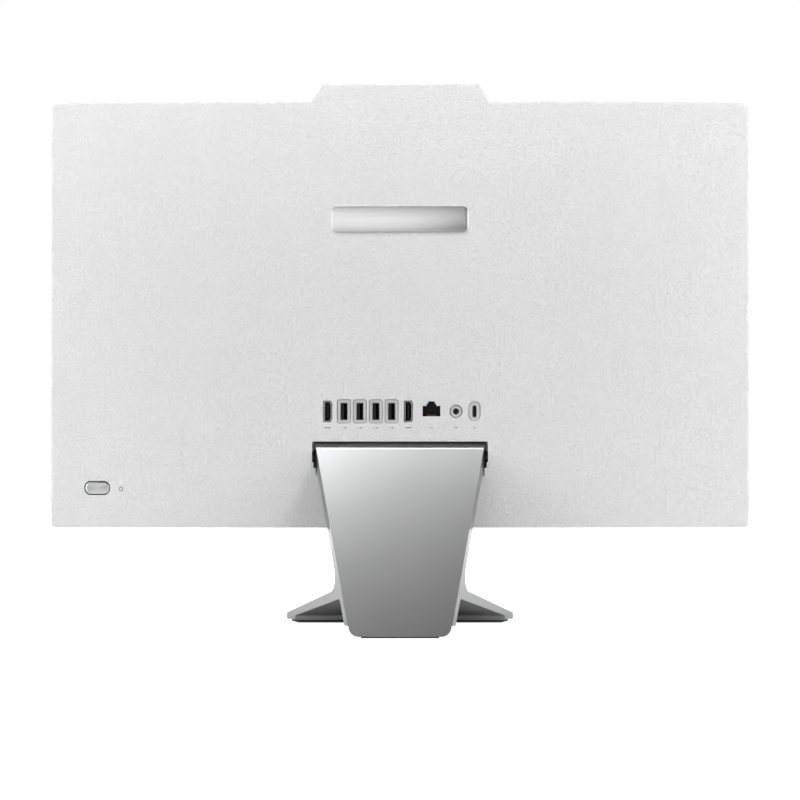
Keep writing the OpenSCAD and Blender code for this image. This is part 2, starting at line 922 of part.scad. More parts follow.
// Centre of a blend of radius r between the leg's front face and a plate face.
// side is 1 above the plate and -1 below it.
function blend_centre(z0, slope, r, side) =
  let (
    y0 = leg_y1 - r/leg_cos,
    z = (z0 + slope*y0 + side*r*sqrt(1 + slope*slope))/(1 + slope*leg_slope)
  )
  [y0 - leg_slope*z, z];

// Points along an arc, both ends included
function arc(centre, r, from, to, steps) = [
  for (i = [0:steps])
    let (a = from + (to - from)*i/steps)
    centre + r*[cos(a), sin(a)]
];

// Side view of the stand: rolled knuckle, rear leg, front plate with its rib, and the two blends
module stand_profile() {
  lean = atan(leg_slope);
  upper = blend_centre(plate_top_z, plate_top_slope, upper_blend_r, 1);
  lower = blend_centre(plate_low_z, plate_low_slope, lower_blend_r, -1);
  knuckle_start = lean - acos((knuckle_r - leg_t)/knuckle_r);
  polygon(concat(
    [[leg_rear(foot_z), foot_z], [leg_front(foot_z), foot_z]],
    arc(lower, lower_blend_r, lean, 90 + atan(plate_low_slope), 6),
    [
      [front_pad_y1, plate_low(front_pad_y1)],
      [front_pad_y1, front_pad_h],
      [front_pad_y0, front_pad_h],
      [front_pad_y0, plate_low(front_pad_y0)],
      [front_tip_y + 1.5, plate_low(front_tip_y)],
      [front_tip_y, plate_low(front_tip_y) + 1],
      [front_tip_y, plate_top(front_tip_y)]
    ],
    arc(upper, upper_blend_r, -90 + atan(plate_top_slope), lean, 12),
    arc([axis_y, axis_z], knuckle_r, knuckle_start, lean - 360, 36)
  ));
}

// The stand seen from above: it widens towards the front
module flare_outline(inset = 0) {
  half = flare_half - inset;
  y0 = front_tip_y - 5;
  y1 = 110;
  polygon([
    [-half + flare*y0, y0],
    [half - flare*y0, y0],
    [half - flare*y1, y1],
    [-half + flare*y1, y1]
  ]);
}

module stand_casting() {
  color("silver")
  difference() {
    intersection() {
      across(-110, 110) stand_profile();
      translate([0, 0, -1]) linear_extrude(170) flare_outline();
      union() {
        block([-110, -110, -1], [110, 110, 119]);
        block([-knuckle_half, -110, 118], [knuckle_half, 110, 160]);
      }
      toe_limit();
    }
    rod(-knuckle_half - 1, knuckle_half + 1, axis_y, axis_z, bush_r + 0.01);
  }
}

// Everything but the corners that are rounded off the foot of the rear leg
module toe_limit() {
  half = toe_half - toe_r;
  block([-110, -120, foot_z + toe_r], [110, 120, 170]);
  block([-110, -120, -1], [110, 60, foot_z + toe_r + 1]);
  block([-half, 50, -1], [half, 120, foot_z + toe_r + 1]);
  for (s = [-1, 1]) post(s*half, foot_z + toe_r, 50, 120, toe_r);
}

module rear_foot_pad() {
  color("dimgray")
    block([-rear_pad_half, rear_pad_y0, 0], [rear_pad_half, rear_pad_y1, foot_z]);
}

module front_foot_pad() {
  color("dimgray")
  intersection() {
    block([-110, front_pad_y0, 0], [110, front_pad_y1, front_pad_h]);
    translate([0, 0, -1]) linear_extrude(10) flare_outline(2.5);
  }
}

rear_cover();
front_bezel();
lcd_panel();
diffuser_sheets();
light_guide();
led_bar();
backlight_tray();
chassis_plate();
cover_screws();
badge_plate();
motherboard();
motherboard_standoffs();
motherboard_screws();
processor();
cold_plate();
heat_pipe();
fin_stack();
fan_housing();
fan_rotor();
memory_sockets();
memory_modules();
ssd_module();
wireless_card();
coin_cell();
port_surround();
hdmi_out_port();
hdmi_in_port();
usb_port_1();
usb_port_2();
usb_port_3();
usb_port_4();
usb_c_port();
socket_tongues();
lan_port();
lan_contacts();
dc_inlet();
dc_pin();
audio_jack();
power_button();
power_switch_board();
power_light_pipe();
webcam_module();
webcam_lens();
webcam_window();
privacy_shutter();
microphones();
speaker_left();
speaker_right();
display_cable();
webcam_cable();
antennas();
hinge_shaft();
hinge_brackets();
hinge_screws();
hinge_disc_springs();
hinge_nuts();
hinge_bushes();
stand_casting();
rear_foot_pad();
front_foot_pad();
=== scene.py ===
import json
import math

import bmesh
import bpy
from mathutils import Matrix, Vector


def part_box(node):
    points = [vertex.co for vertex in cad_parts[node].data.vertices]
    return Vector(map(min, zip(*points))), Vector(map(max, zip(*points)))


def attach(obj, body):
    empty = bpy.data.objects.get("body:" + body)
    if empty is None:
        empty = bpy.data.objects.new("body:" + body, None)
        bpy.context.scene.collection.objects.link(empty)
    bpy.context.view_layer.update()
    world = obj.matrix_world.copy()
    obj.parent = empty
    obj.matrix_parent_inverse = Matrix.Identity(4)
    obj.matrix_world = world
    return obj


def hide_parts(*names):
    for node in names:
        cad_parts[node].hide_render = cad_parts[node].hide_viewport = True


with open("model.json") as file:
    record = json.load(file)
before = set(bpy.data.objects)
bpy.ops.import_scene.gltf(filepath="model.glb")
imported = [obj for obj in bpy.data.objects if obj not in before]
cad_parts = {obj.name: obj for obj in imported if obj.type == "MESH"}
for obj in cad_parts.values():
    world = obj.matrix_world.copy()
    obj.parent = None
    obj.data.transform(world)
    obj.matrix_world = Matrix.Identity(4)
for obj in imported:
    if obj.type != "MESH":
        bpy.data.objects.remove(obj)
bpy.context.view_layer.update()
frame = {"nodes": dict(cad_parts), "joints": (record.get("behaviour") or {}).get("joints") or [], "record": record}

# ---------- measures, in metres ----------

MM = 0.001

cover_low, cover_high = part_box("rear_cover")
bezel_low, bezel_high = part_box("front_bezel")
REAR_Y = cover_high.y
SPLIT_Y = cover_low.y
HALF_W = cover_high.x
HEAD_Z0 = cover_low.z
BUMP_TOP_Z = cover_high.z
BUMP_H = 14 * MM
HEAD_TOP_Z = BUMP_TOP_Z - BUMP_H
BUMP_TOP_HALF = 60.4 * MM
BUMP_FOOT_HALF = 68.5 * MM
TOP_R = 6.2 * MM
FOOT_R = 3.1 * MM
COVER_T = 2.2 * MM
EDGE_R = 2 * MM
RIM_CHAMFER = 0.3 * MM

# The rear face is flat in the middle and curves away at the top and the sides
CROWN_R = 1.0
FLAT_HALF = 110 * MM
CROWN_Z = HEAD_Z0 + 192 * MM

# The bezel's width at the sides and the top, and below, and the screen's black border
BEZEL_SIDE = 6.5 * MM
BEZEL_FOOT = 26.3 * MM
SCREEN_BORDER = 2.2 * MM

# The hinge pocket, the slots beside the knuckle and the ramp below them. Each foot, and the
# ramp's top, is so far down from the hinge's axis. Upright, the wall under the ramp's foot is
# RAMP_WALL_SHARE times as thick, because the ramp slopes
tilt = next(j for j in frame["joints"] if j["name"] == "tilt")
HINGE = Vector(tilt["pos_m"])
POCKET_R = 12.2 * MM
POCKET_HALF = 67.7 * MM
POCKET_FOOT = 2 * MM
POCKET_WALL = 1.8 * MM
KNUCKLE_HALF = 66.2 * MM
KNUCKLE_GAP = 0.5 * MM
SLOT_FOOT = 3.7 * MM
RAMP_HALF = 65 * MM
RAMP_TOP = 6 * MM
RAMP_FOOT = 14.5 * MM
RAMP_WALL_SHARE = 1.6
SHAFT_HOLE_R = 4.6 * MM
SHAFT_HOLE_HALF = 90 * MM

# The ports. A frame is a round rectangle: width, height and corner radius
HDMI_PORTS = ["hdmi_out_port", "hdmi_in_port"]
USB_PORTS = [f"usb_port_{i}" for i in range(1, 5)]
PORT_Z = sum(c.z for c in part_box("usb_port_1")) / 2
LAN_FOOT = 5.8 * MM
LAN_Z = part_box("lan_contacts")[0].z + LAN_FOOT
LAN_STEPS = [(6.8 * MM, 2.3 * MM), (3.7 * MM, 4.1 * MM), (2.55 * MM, 5.8 * MM)]
HDMI_HALF = (2.3 * MM, 7 * MM)
HDMI_CUT = (0.99 * MM, 2.2 * MM)
HDMI_GAP = 1.25 * MM
USB_FRAME = (9.6 * MM, 17.3 * MM, 1.6 * MM)
USB_C_FRAME = (8.2 * MM, 14 * MM, 4.09 * MM)
DC_HOLE_R = 5.1 * MM
PORT_GAP = 0.5 * MM
LIP_R = 0.45 * MM

# How far the cutting solids reach past the rear face
CUT_PAST = 3 * MM

BADGE_SIZE = (105 * MM, 21 * MM, 5 * MM)
BADGE_GAP = 0.1 * MM
BADGE_SINK = 1.2 * MM
BADGE_Z = 314.9 * MM
BUTTON_SIZE = (18.6 * MM, 9.2 * MM, 4.1 * MM)
BUTTON_GAP = 0.8 * MM
BUTTON_LIP_R = 0.12 * MM
BUTTON_AT = (233.7 * MM, 108.1 * MM)
LIGHT_HOLE_R = 1.7 * MM
LIGHT_LIP_R = 0.15 * MM
LIGHT_AT = (215.2 * MM, 107.4 * MM)
SIDE_HOLE_DEPTH = 6 * MM

# Vents in each half: Z of the edge, Y, X of the slot nearest the middle, number of slots
VENT_SIZE = (6 * MM, 2.4 * MM, 1.19 * MM)
VENT_PITCH = 9 * MM
VENT_DEPTH = 6 * MM
SIDE_VENTS = [(HEAD_TOP_Z, -21.8 * MM, 90 * MM, 14), (HEAD_Z0, -19.8 * MM, 163 * MM, 7)]
MIDDLE_VENTS_Y = -12.8 * MM
MIDDLE_VENTS_EACH_WAY = 6

# Holes in the lower edge. A screw's recess goes through radii and heights in mm
AUDIO_AT = (120 * MM, -17 * MM)
AUDIO_R = 3.4 * MM
AUDIO_DEPTH = 3 * MM
SCREW_X = [-142 * MM, -100 * MM, 100 * MM, 142 * MM]
SCREW_Y = -20 * MM
SCREW_RECESS = [(2.9, -1), (2.9, 1.4), (1.6, 1.4), (1.6, 3)]

WHITE = (0.8, 0.8, 0.802)


def middle(name):
    """The middle of a CAD node's box."""
    low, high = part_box(name)
    return (low + high) / 2


# ---------- camera ----------

CAMERA_AT = (0, 2.391, 0.176)
LENS_MM = 140
SENSOR_MM = 36


def add_camera():
    data = bpy.data.cameras.new("camera")
    data.lens = LENS_MM
    data.sensor_width = SENSOR_MM
    camera = bpy.data.objects.new("camera", data)
    camera.location = CAMERA_AT
    camera.rotation_euler = (math.pi / 2, 0, math.pi)
    bpy.context.scene.collection.objects.link(camera)
    bpy.context.scene.camera = camera


# ---------- material helpers ----------


def new_material(name, colour, roughness, metallic=0.0, **constants):
    """A Principled material. The constants are set on the shader's own sockets."""
    mat = bpy.data.materials.new(name)
    mat.use_nodes = True
    inputs = shader_of(mat).inputs
    inputs["Base Color"].default_value = (*colour, 1)
    inputs["Roughness"].default_value = roughness
    inputs["Metallic"].default_value = metallic
    for socket, value in constants.items():
        inputs[socket.replace("_", " ")].default_value = value
    return mat


def shader_of(mat):
    return mat.node_tree.nodes["Principled BSDF"]


def node(mat, kind, inputs=None, **settings):
    """Adds a node. An input is a number, a vector or another node's output."""
    made = mat.node_tree.nodes.new("ShaderNode" + kind)
    for key, value in settings.items():
        setattr(made, key, value)
    for key, value in (inputs or {}).items():
        if isinstance(value, bpy.types.NodeSocket):
            mat.node_tree.links.new(value, made.inputs[key])
        else:
            made.inputs[key].default_value = value
    return made


def maths(mat, operation, *values):
    made = node(mat, "Math", dict(enumerate(values)), operation=operation)
    return made.outputs[0]


def vector_maths(mat, operation, first, second):
    return node(mat, "VectorMath", {0: first, 1: second}, operation=operation).outputs[0]


def split(mat, vector):
    return node(mat, "SeparateXYZ", {0: vector}).outputs


def mixed(mat, share, first, second):
    """A colour that goes from the first to the second as share goes from 0 to 1."""
    made = node(mat, "Mix", {0: share, 6: first, 7: second}, data_type="RGBA")
    return made.outputs[2]


def ramp(mat, value, start, end, low, high):
    """Goes smoothly from low to high as value goes from start to end."""
    inputs = {"Value": value, "From Min": start, "From Max": end, "To Min": low, "To Max": high}
    made = node(mat, "MapRange", inputs, interpolation_type="SMOOTHSTEP")
    return made.outputs[0]


def coordinates(mat):
    return node(mat, "TexCoord").outputs["Object"]


def noise(mat, coords, size, detail=2.0):
    """Noise from 0 to 1 whose features are about size metres across."""
    made = node(mat, "TexNoise", {"Vector": coords, "Scale": 1 / size, "Detail": detail})
    return made.outputs["Fac"]


def flat_cells(mat, coords, scale, randomness, **settings):
    """Outputs of a cell pattern in two dimensions, with scale cells in a metre."""
    inputs = {"Vector": coords, "Scale": scale, "Randomness": randomness}
    return node(mat, "TexVoronoi", inputs, voronoi_dimensions="2D", **settings).outputs


def colour_source(mat):
    """The output that feeds the shader's colour."""
    return shader_of(mat).inputs["Base Color"].links[0].from_socket


def link(mat, output, socket):
    mat.node_tree.links.new(output, shader_of(mat).inputs[socket])


def add_bump(mat, height, depth):
    """Adds a bump of that depth in metres on top of any bump the material has."""
    inputs = {"Height": height, "Distance": depth, "Strength": 1.0}
    socket = shader_of(mat).inputs["Normal"]
    if socket.links:
        inputs["Normal"] = socket.links[0].from_socket
    link(mat, node(mat, "Bump", inputs).outputs["Normal"], "Normal")


def vary(mat, coords, size, tone, drift):
    """Slow changes of tone and roughness, as shares of the material's own values."""
    inputs = shader_of(mat).inputs
    base = inputs["Base Color"].default_value[:3]
    rough = inputs["Roughness"].default_value
    low, high = (tuple(min(c * k, 1) for c in base) + (1,) for k in (1 - tone, 1 + tone))
    share = ramp(mat, noise(mat, coords, size, 3), 0.3, 0.7, 0, 1)
    link(mat, mixed(mat, share, low, high), "Base Color")
    field = noise(mat, coords, size / 3, 4)
    varied = ramp(mat, field, 0.25, 0.75, rough * (1 - drift), rough * (1 + drift))
    link(mat, varied, "Roughness")


def grained(
    name, colour, roughness, metallic=0.0,
    grain=0.3 * MM, depth=0.01 * MM, tone=0.02, drift=0.12, **constants
):
    """A moulded, cast or blasted finish: fine grain with a little drift of tone and gloss."""
    mat = new_material(name, colour, roughness, metallic, **constants)
    coords = coordinates(mat)
    vary(mat, coords, 40 * MM, tone, drift)
    add_bump(mat, noise(mat, coords, grain, 2), depth)
    return mat


def brushed(
    name, colour, roughness, along="X",
    grain=0.08 * MM, depth=0.006 * MM, tone=0.05, drift=0.2, **constants
):
    """Metal with fine straight lines along one axis."""
    mat = new_material(name, colour, roughness, 1.0, **constants)
    stretch = tuple(0.02 if axis == along else 1 for axis in "XYZ")
    lines = vector_maths(mat, "MULTIPLY", coordinates(mat), stretch)
    vary(mat, lines, 2 * MM, tone, drift)
    add_bump(mat, noise(mat, lines, grain, 2), depth)
    return mat


# ---------- the rear cover's embossed texture ----------

STROKE_CELL = 4.0 * MM
STROKE_HALF_L = 1.9 * MM
STROKE_HALF_W = 0.5 * MM
STROKE_BEND = 0.55
STROKE_DEPTH = 0.3 * MM
# Painted light: the strokes' raised tops are painted lighter than the ground, standing in for light catching them
STROKE_PAINTED_LIGHT = (0.87, 0.87, 0.872, 1)

# Layers of strokes lie over each other, each moved by so many metres
STROKE_SHIFTS = (0, 0.7, 1.9)

# The strokes fade out as the outward direction's Y goes from the second value to the first
STROKE_FADE = (0.6, 0.92)

# A face looks to the side or up when that part of its direction is over this
FACING = 0.7


def surface_coordinates(mat):
    """Two coordinates across the surface, whichever way it faces."""
    x, y, z = split(mat, coordinates(mat))
    nx, _, nz = split(mat, node(mat, "NewGeometry").outputs["True Normal"])
    facing_side = maths(mat, "GREATER_THAN", maths(mat, "ABSOLUTE", nx), FACING)
    facing_up = maths(mat, "GREATER_THAN", maths(mat, "ABSOLUTE", nz), FACING)
    across = node(mat, "Mix", {0: facing_side, 2: x, 3: y}, data_type="FLOAT").outputs[0]
    up = node(mat, "Mix", {0: facing_up, 2: z, 3: y}, data_type="FLOAT").outputs[0]
    return node(mat, "CombineXYZ", {0: across, 1: up}).outputs[0]


def strokes(mat, coords, shift):
    """Height of short bent strokes, one in each cell, each turned its own way."""
    moved = vector_maths(mat, "ADD", coords, (shift, -shift, 0))
    cells = flat_cells(mat, moved, 1 / STROKE_CELL, 0.9)
    offset = vector_maths(mat, "SUBTRACT", moved, cells["Position"])
    chance = node(mat, "SeparateColor", {0: cells["Color"]}).outputs[0]
    angle = maths(mat, "MULTIPLY", chance, 2 * math.pi)
    turn = {"Vector": offset, "Angle": angle}
    turned = node(mat, "VectorRotate", turn, rotation_type="Z_AXIS").outputs[0]
    along, over, _ = split(mat, turned)
    along = maths(mat, "ABSOLUTE", along)
    over = maths(mat, "ABSOLUTE", maths(mat, "MULTIPLY_ADD", along, STROKE_BEND, over))
    line = ramp(mat, over, 0.1 * STROKE_HALF_W, STROKE_HALF_W, 1, 0)
    ends = ramp(mat, along, 0.7 * STROKE_HALF_L, STROKE_HALF_L, 1, 0)
    return maths(mat, "MULTIPLY", line, ends)


def embossed_plastic():
    """White plastic with a moulded texture of short strokes on its rear face, the strokes painted lighter as
    painted light.
    """
    mat = new_material("white_plastic", WHITE, 0.42, Specular_IOR_Level=0.35)
    coords = coordinates(mat)
    vary(mat, coords, 60 * MM, 0.008, 0.1)
    flat = surface_coordinates(mat)
    height = strokes(mat, flat, STROKE_SHIFTS[0])
    for shift in STROKE_SHIFTS[1:]:
        height = maths(mat, "MAXIMUM", height, strokes(mat, flat, shift))
    facing = split(mat, node(mat, "TexCoord").outputs["Normal"])["Y"]
    height = maths(mat, "MULTIPLY", height, ramp(mat, facing, *STROKE_FADE, 0, 1))
    # Painted light: the colour goes lighter where the strokes rise
    link(mat, mixed(mat, height, colour_source(mat), STROKE_PAINTED_LIGHT), "Base Color")
    add_bump(mat, height, STROKE_DEPTH)
    add_bump(mat, noise(mat, coords, 0.5 * MM, 2), 0.012 * MM)
    return mat


# ---------- other materials ----------


SCREEN_BLACK = (0.004, 0.004, 0.004, 1)
PICTURE_AREA = (0.012, 0.013, 0.016, 1)
# Painted shade: the near-black colour painted inside the sockets, where shade falls
SOCKET_PAINTED_SHADE = (0.012, 0.012, 0.013, 1)
BOARD_GREEN = (0.01, 0.09, 0.03)
TRACK_GREEN = (0.03, 0.2, 0.06)
TRACKS_PER_METRE = 180

# How far below the rear face the sockets' metal keeps its own colour, and from where it is painted dark as painted
# shade
SOCKET_UNSHADED_TO = 0.75 * MM
SOCKET_PAINTED_SHADE_FROM = 1.1 * MM


def screen_material():
    """A dark panel with a slightly lighter picture area inside a black border."""
    mat = new_material("screen", (0.006, 0.006, 0.007), 0.22, Coat_Weight=0.2, Coat_Roughness=0.12)
    x, _, z = split(mat, coordinates(mat))
    bottom = bezel_low.z + BEZEL_FOOT
    top = bezel_high.z - BUMP_H - BEZEL_SIDE
    side = maths(mat, "SUBTRACT", maths(mat, "ABSOLUTE", x), HALF_W - BEZEL_SIDE - SCREEN_BORDER)
    height = maths(mat, "ABSOLUTE", maths(mat, "SUBTRACT", z, (bottom + top) / 2))
    height = maths(mat, "SUBTRACT", height, (top - bottom) / 2 - SCREEN_BORDER)
    inside = maths(mat, "LESS_THAN", maths(mat, "MAXIMUM", side, height), 0)
    link(mat, mixed(mat, inside, SCREEN_BLACK, PICTURE_AREA), "Base Color")
    add_bump(mat, noise(mat, coordinates(mat), 0.12 * MM, 1), 0.002 * MM)
    return mat


def socket_metal_with_painted_shade():
    """Bright plated metal at the sockets' rims, painted dark inside them as painted shade."""
    mat = brushed("port_metal", (0.62, 0.62, 0.63), 0.3, "Y", 0.1 * MM, 0.002 * MM)
    y = split(mat, coordinates(mat))["Y"]
    # Painted shade: the metal's colour fades to near black with depth into the socket
    rim = ramp(mat, y, REAR_Y - SOCKET_PAINTED_SHADE_FROM, REAR_Y - SOCKET_UNSHADED_TO, 0, 1)
    link(mat, mixed(mat, rim, SOCKET_PAINTED_SHADE, colour_source(mat)), "Base Color")
    return mat


def turned_metal():
    """Metal turned in rings, whose highlights fan out from the middle."""
    mat = new_material("button_metal", (0.82, 0.82, 0.825), 0.3, 1.0, Anisotropic=0.8)
    tangent = node(mat, "Tangent", direction_type="RADIAL", axis="Y").outputs["Tangent"]
    link(mat, tangent, "Tangent")
    vary(mat, coordinates(mat), 3 * MM, 0.03, 0.1)
    return mat


def board_material():
    """Green circuit board with a web of tracks."""
    mat = new_material("circuit_board", BOARD_GREEN, 0.4, Coat_Weight=0.3)
    x, _, z = split(mat, coordinates(mat))
    flat = node(mat, "CombineXYZ", {0: x, 1: z}).outputs[0]
    cells = flat_cells(mat, flat, TRACKS_PER_METRE, 1.0, feature="DISTANCE_TO_EDGE")
    line = ramp(mat, cells["Distance"], 0.02, 0.05, 1, 0)
    link(mat, mixed(mat, line, (*BOARD_GREEN, 1), (*TRACK_GREEN, 1)), "Base Color")
    add_bump(mat, line, 0.05 * MM)
    return mat


# Colour, roughness and what differs from the usual grain or brushing, for each slot
CAST = dict(metallic=1.0, grain=0.5 * MM, depth=0.0008 * MM, tone=0.01, drift=0.015)
RUBBER = dict(grain=0.5 * MM, depth=0.05 * MM, tone=0.1)
GRAINED = {
    "bezel_plastic": (WHITE, 0.38, dict(grain=0.35 * MM)),
    "sheet_plastic": ((0.75, 0.77, 0.78), 0.3, {}),
    "stand_metal": ((0.43, 0.432, 0.436), 0.3, CAST),
    "foot_rubber": ((0.075, 0.076, 0.08), 0.75, RUBBER),
    "surround_plastic": ((0.64, 0.64, 0.645), 0.45, {}),
    "black_plastic": ((0.012, 0.012, 0.013), 0.5, {}),
    "grey_plastic": ((0.3, 0.3, 0.305), 0.5, {}),
    "lens_glass": ((0.01, 0.012, 0.02), 0.06, dict(depth=0.0, Coat_Weight=1.0)),
    "cable_film": ((0.5, 0.2, 0.03), 0.4, {}),
}
BRUSHED = {
    "polished_metal": ((0.88, 0.88, 0.885), 0.24, dict(depth=0.0003 * MM, tone=0.015, drift=0.03)),
    "sheet_steel": ((0.6, 0.61, 0.62), 0.35, dict(along="Z")),
    "copper": ((0.75, 0.34, 0.2), 0.3, {}),
    "gold_contacts": ((0.4, 0.3, 0.14), 0.4, dict(along="Y")),
    "black_steel": ((0.06, 0.06, 0.062), 0.45, {}),
    "fastener_steel": ((0.55, 0.56, 0.58), 0.3, dict(along="Z")),
    "bush_bronze": ((0.55, 0.36, 0.15), 0.35, {}),
    "heatsink_metal": ((0.7, 0.7, 0.71), 0.35, dict(along="Z")),
}


def make_materials():
    """One material for each slot of the record."""
    made = {
        "white_plastic": embossed_plastic(),
        "screen": screen_material(),
        "button_metal": turned_metal(),
        "port_metal": socket_metal_with_painted_shade(),
        "circuit_board": board_material(),
    }
    for finish, table in ((grained, GRAINED), (brushed, BRUSHED)):
        for slot, (colour, roughness, rest) in table.items():
            made[slot] = finish(slot, colour, roughness, **rest)
    return made


# ---------- mesh helpers ----------


def arc(cx, cz, r, start, end, steps):
    """Points on an arc, both ends included, angles in degrees."""
    angles = [math.radians(start + (end - start) * i / steps) for i in range(steps + 1)]
    return [(cx + r * math.cos(a), cz + r * math.sin(a)) for a in angles]


def round_rect(w, h, r, steps=8):
    """A rectangle with round corners, centred, anticlockwise."""
    points = []
    for sx, sz, start in ((1, 1, 0), (-1, 1, 90), (-1, -1, 180), (1, -1, 270)):
        points += arc(sx * (w / 2 - r), sz * (h / 2 - r), r, start, start + 90, steps)
    return points


def disc(r, steps=48):
    return arc(0, 0, r, 0, 360 - 360 / steps, steps - 1)


def grown_rect(size, steps=8):
    """A round rectangle's outline, as a function of how much it grows each way."""
    w, h, r = size
    return lambda grow: round_rect(w + 2 * grow, h + 2 * grow, r + grow, steps)


def hdmi_outline(grow):
    """The HDMI socket on its end: a rectangle with two corners cut off."""
    w, l = (half + grow for half in HDMI_HALF)
    cut_x, cut_z = HDMI_CUT
    bevel = cut_x - w
    return [(w, l), (bevel, l), (-w, l - cut_z), (-w, cut_z - l), (bevel, -l), (w, -l)]


def lan_outline(grow):
    """The network socket: a wide mouth with the stepped notch of the plug's latch."""
    right = [(LAN_STEPS[0][0] + grow, -LAN_FOOT - grow)]
    for i, (half, top) in enumerate(LAN_STEPS):
        right.append((half + grow, top + grow))
        if i + 1 < len(LAN_STEPS):
            right.append((LAN_STEPS[i + 1][0] + grow, top + grow))
    return right + [(-x, z) for x, z in reversed(right)]


def bridge(bm, a, b):
    """Faces between two rings of vertices."""
    for i in range(len(a)):
        j = (i + 1) % len(a)
        bm.faces.new((a[i], a[j], b[j], b[i]))


def loft(bm, rings, close=True):
    """Faces between rings of points, with a cap on each end. Returns the rings' vertices."""
    made = [[bm.verts.new(p) for p in ring] for ring in rings]
    for a, b in zip(made, made[1:]):
        bridge(bm, a, b)
    if close:
        bm.faces.new(list(reversed(made[0])))
        bm.faces.new(made[-1])
    return made


def sections(outline, levels, place=Matrix.Identity(4)):
    """Rings of an X-Z outline at several depths: levels are (y, grow) pairs."""
    return [[place @ Vector((x, y, z)) for x, z in outline(grow)] for y, grow in levels]


def stepped(size, profile, place, steps):
    """Rings of a round rectangle: the profile holds (inset, y) pairs in mm."""
    levels = [(y * MM, -inset * MM) for inset, y in profile]
    return sections(grown_rect(size, steps), levels, place)


def lip(y_in, y_face, r, steps=4):
    """Levels for a hole through a wall whose mouth is rounded by r."""
    levels = [(y_in, 0)]
    for i in range(steps + 1):
        a = math.pi / 2 * i / steps
        levels.append((y_face - r + r * math.sin(a), r - r * math.cos(a)))
    return levels + [(y_face + CUT_PAST, r)]


def finished(bm, name, sharp=35):
    """Turns a bmesh into an object with smooth faces and sharp edges."""
    bmesh.ops.recalc_face_normals(bm, faces=bm.faces)
    mesh = bpy.data.meshes.new(name)
    bm.to_mesh(mesh)
    bm.free()
    obj = bpy.data.objects.new(name, mesh)
    bpy.context.scene.collection.objects.link(obj)
    smooth(obj, sharp)
    return obj


def smooth(obj, sharp=35):
    """Smooth faces, with sharp edges where the surface turns by more than so many degrees."""
    for polygon in obj.data.polygons:
        polygon.use_smooth = True
    obj.data.set_sharp_from_angle(angle=math.radians(sharp))


def settle(obj):
    """Replaces an object's mesh by the result of its modifiers."""
    graph = bpy.context.evaluated_depsgraph_get()
    mesh = bpy.data.meshes.new_from_object(obj.evaluated_get(graph))
    obj.modifiers.clear()
    old = obj.data
    obj.data = mesh
    bpy.data.meshes.remove(old)


def cut(obj, bm, operation="DIFFERENCE"):
    """Cuts a bmesh out of an object, or adds it."""
    tool = finished(bm, "cutter")
    modifier = obj.modifiers.new("cut", "BOOLEAN")
    modifier.operation = operation
    modifier.solver = "EXACT"
    modifier.object = tool
    settle(obj)
    bpy.data.objects.remove(tool)


def on_side_curve(x, z):
    """A matrix to the rear face at x, turned so that +Y is the outward normal."""
    a = math.asin((x - FLAT_HALF) / CROWN_R)
    at = Vector((FLAT_HALF + CROWN_R * math.sin(a), REAR_Y - CROWN_R + CROWN_R * math.cos(a), z))
    return Matrix.Translation(at) @ Matrix.Rotation(-a, 4, "Z")


def on_crown(z):
    """A matrix to the middle of the rear face at z, turned so that +Y is the outward normal."""
    a = math.asin((z - CROWN_Z) / CROWN_R)
    at = Vector((0, REAR_Y - CROWN_R + CROWN_R * math.cos(a), CROWN_Z + CROWN_R * math.sin(a)))
    return Matrix.Translation(at) @ Matrix.Rotation(a, 4, "X")


# ---------- the rear cover ----------


def crown_y(x, z, inset=0.0):
    """Y of the rear face, or of a face that lies inset below it."""
    dx = max(0, abs(x) - FLAT_HALF)
    dz = max(0, z - CROWN_Z)
    return REAR_Y - CROWN_R + math.sqrt((CROWN_R - inset) ** 2 - dx * dx - dz * dz)


def bump_halves(inset):
    """Half widths of the camera bump at its top and where it meets the head."""
    slope = (BUMP_FOOT_HALF - BUMP_TOP_HALF) / BUMP_H
    return BUMP_TOP_HALF - inset, BUMP_FOOT_HALF - inset * (1 - slope)


def top_edge(x, inset=0.0):
    """Z of the outline's upper edge at x, with the bump and the round corners."""
    half, r, z1 = HALF_W - inset, TOP_R - inset, HEAD_TOP_Z - inset
    top, foot = bump_halves(inset)
    x = abs(x)
    if x <= top:
        return z1 + BUMP_H
    if x < foot:
        return z1 + BUMP_H * (foot - x) / (foot - top)
    over = min(max(0, x - half + r), r)
    return z1 - r + math.sqrt(r * r - over * over)


def foot_edge(x, inset=0.0):
    """Z of the outline's lower edge at x, with the round corners."""
    half, r = HALF_W - inset, FOOT_R - inset
    over = min(max(0, abs(x) - half + r), r)
    return HEAD_Z0 + inset + r - math.sqrt(r * r - over * over)


def edge_distance(x, z):
    """Distance from a point of the rear face to the outline."""
    side, top, foot = HALF_W - abs(x), HEAD_TOP_Z - z, z - HEAD_Z0
    if side < TOP_R and top < TOP_R:
        head = TOP_R - math.hypot(TOP_R - side, TOP_R - top)
    elif side < FOOT_R and foot < FOOT_R:
        head = FOOT_R - math.hypot(FOOT_R - side, FOOT_R - foot)
    else:
        head = min(side, top, foot)
    slant = Vector((BUMP_H, BUMP_FOOT_HALF - BUMP_TOP_HALF)).normalized()
    beside = -((abs(x) - BUMP_FOOT_HALF) * slant.x + (z - HEAD_TOP_Z) * slant.y)
    return max(head, min(BUMP_TOP_Z - z, beside))


# Distances from the outline at which the rear face has rows and columns, and how much
# wider they are beside the bump's corner and under its slope
EDGE_STEPS = [0, 0.1 * MM, 0.3 * MM, 0.6 * MM, 1.0 * MM, 1.5 * MM, 2.0 * MM, 3.0 * MM]
CORNER_SPREAD = 1.3
SLOPE_SPREAD = 2.0

# Columns inside the bump, under its slope, beside it and in the head's corner, and rows
BUMP_COLUMNS = 9
SLOPE_COLUMNS = 8
SIDE_COLUMNS = 36
CORNER_COLUMNS = 14
ROWS = 52


